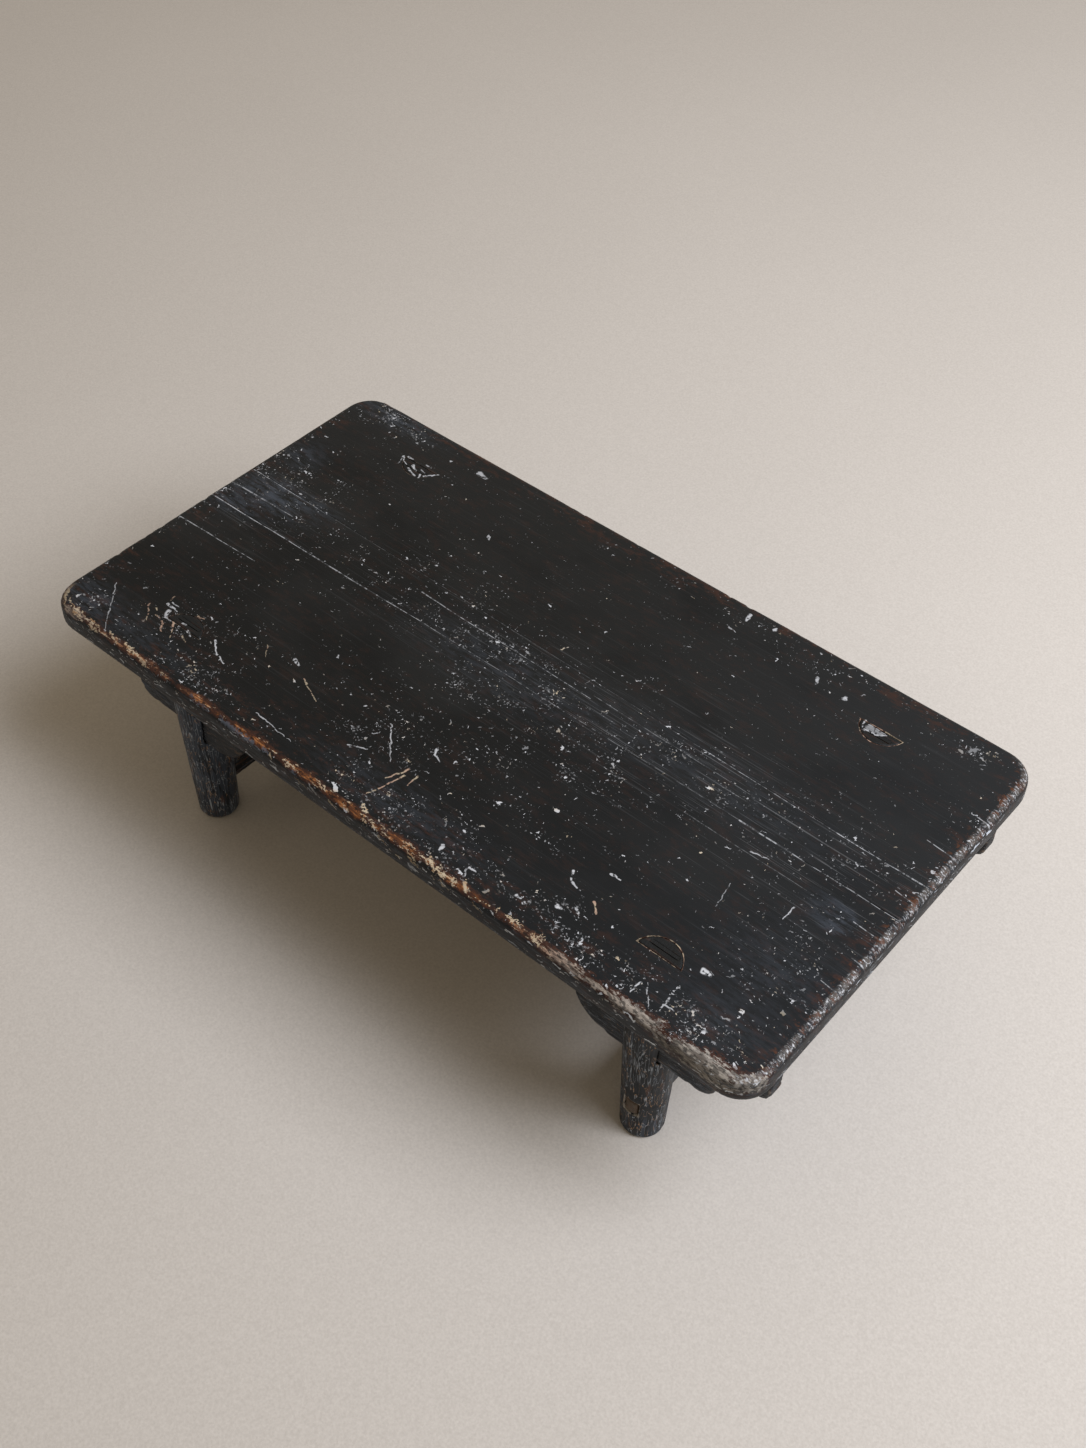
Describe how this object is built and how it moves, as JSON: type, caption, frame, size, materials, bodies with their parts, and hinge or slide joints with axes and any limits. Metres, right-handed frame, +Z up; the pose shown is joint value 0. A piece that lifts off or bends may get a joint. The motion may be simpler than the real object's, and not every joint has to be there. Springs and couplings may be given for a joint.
{
  "type": "kang table",
  "caption": "Low rectangular plank table on round recessed legs, with lobed long aprons slotted into the legs and low end stretchers.",
  "frame": {"origin": "on the floor under the middle of the top", "axes": "+X along the length to the right end, +Y from the front long side to the back, +Z up"},
  "size_m": [0.8, 0.424, 0.25],
  "materials": {
    "black_lacquer": "worn satin black lacquer on wood",
    "dark_wood": "bare wood darkened with age",
    "pin_wood": "bare wood"
  },
  "bodies": {
    "root": {"top_front_plank": "black_lacquer", "top_middle_strip": "black_lacquer", "top_back_plank": "black_lacquer", "apron_front": "black_lacquer", "apron_back": "black_lacquer", "leg_front_left": "black_lacquer", "leg_front_right": "black_lacquer", "leg_back_left": "black_lacquer", "leg_back_right": "black_lacquer", "stretcher_left": "black_lacquer", "stretcher_right": "black_lacquer", "batten_left": "dark_wood", "batten_right": "dark_wood", "seam_pins": "pin_wood", "tenon_wedges": "black_lacquer"}
  },
  "joints": []
}
